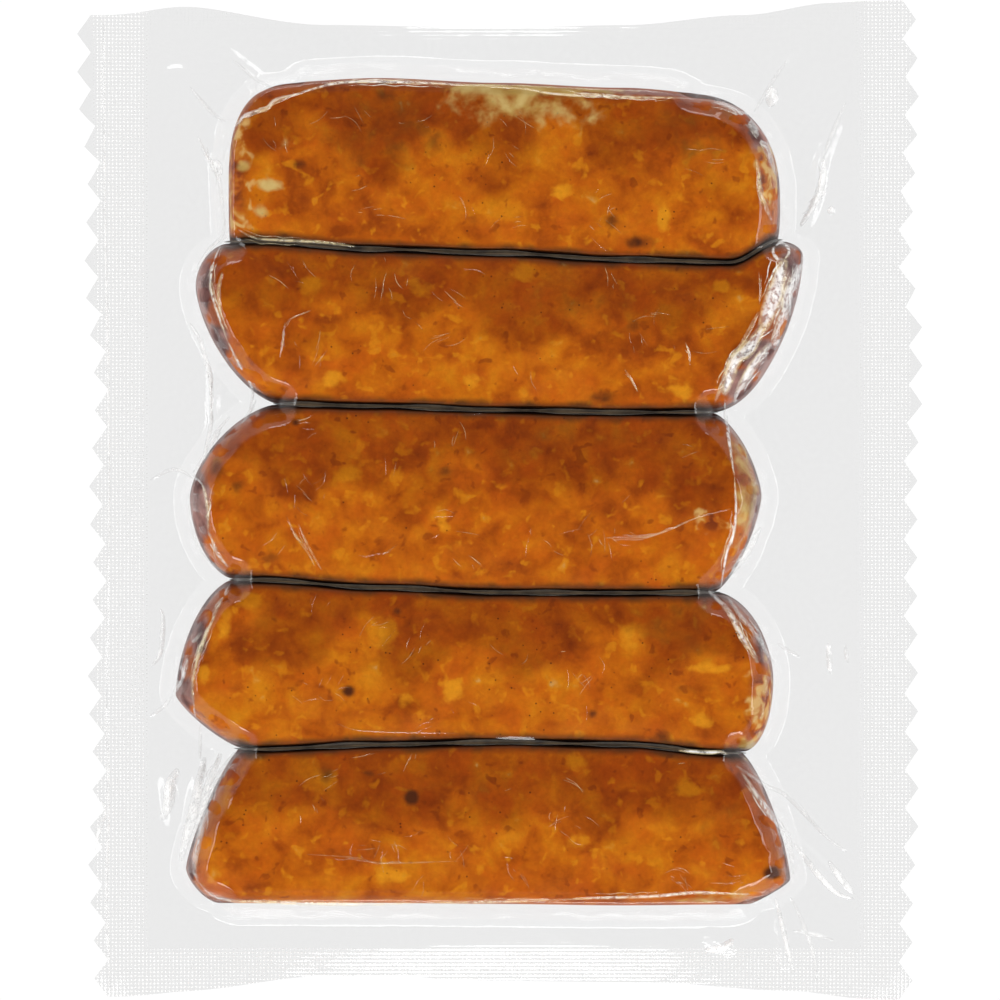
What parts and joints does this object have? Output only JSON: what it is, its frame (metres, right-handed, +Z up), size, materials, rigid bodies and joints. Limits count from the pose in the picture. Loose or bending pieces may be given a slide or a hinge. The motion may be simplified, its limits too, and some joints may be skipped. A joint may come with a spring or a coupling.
{
  "type": "vacuum pack of smoked sausages",
  "caption": "Clear vacuum-sealed bag of thick smoked sausage links packed side by side, with a flat sealed rim and zigzag-cut sides, lying flat.",
  "frame": {"origin": "centre of the bounding box in plan, on the plane that the pack lies on", "axes": "+Y along the long side of the pack, across the sausages, towards the edge that the picture shows at its top; +X along the sausages, to the picture's right; +Z up, from the resting side to the side that the picture shows"},
  "size_m": [0.174, 0.2056, 0.029],
  "materials": {
    "sausage": "amber-brown smoked casing under tight shiny film",
    "film": "thin clear glossy film, embossed with a fine diamond grid along the sealed sides"
  },
  "bodies": {
    "root": {"vacuum_pack": "sausage"}
  },
  "joints": []
}
